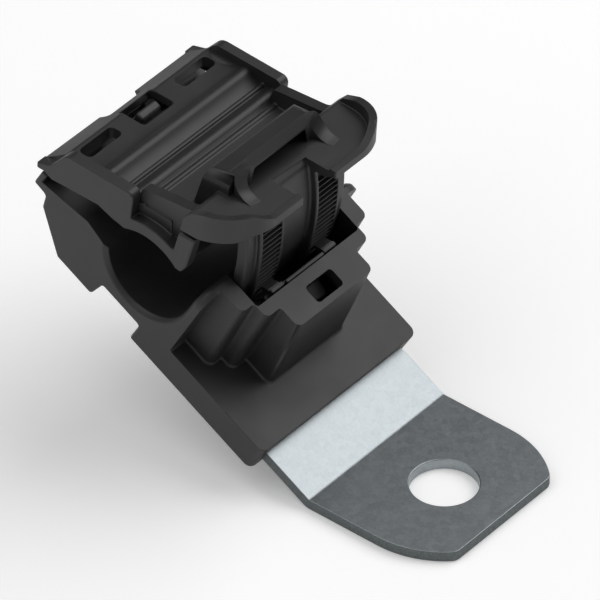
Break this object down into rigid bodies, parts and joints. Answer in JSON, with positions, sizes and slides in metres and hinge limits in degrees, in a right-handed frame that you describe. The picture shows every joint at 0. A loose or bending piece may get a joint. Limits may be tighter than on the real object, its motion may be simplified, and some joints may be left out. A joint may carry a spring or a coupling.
{
  "type": "ratchet p clip",
  "caption": "Ratchet P clip: a bent steel fixing plate in a plastic cradle, with a hinged jaw that locks over a cable or hose bundle.",
  "frame": {"origin": "centre of the bolt hole on the plate's mounting face", "axes": "+Z along the bolt, away from the mounting face; +Y from the bolt hole towards the clamp; X across the plate, along the bundle"},
  "size_m": [0.029, 0.0605, 0.0412],
  "materials": {
    "galvanised_steel": "bright zinc plated, fine spangle",
    "black_polyamide": "fine moulded texture, satin"
  },
  "bodies": {
    "base": {"mounting_plate": "galvanised_steel", "clamp_base": "black_polyamide"},
    "jaw": {"ratchet_jaw": "black_polyamide"}
  },
  "joints": [
    {"name": "jaw_hinge", "type": "hinge", "parent": "base", "child": "jaw", "pos_m": [0, 0.0499, 0.03187], "axis": [-1, 0, 0], "range_deg": [-16, 65]}
  ]
}
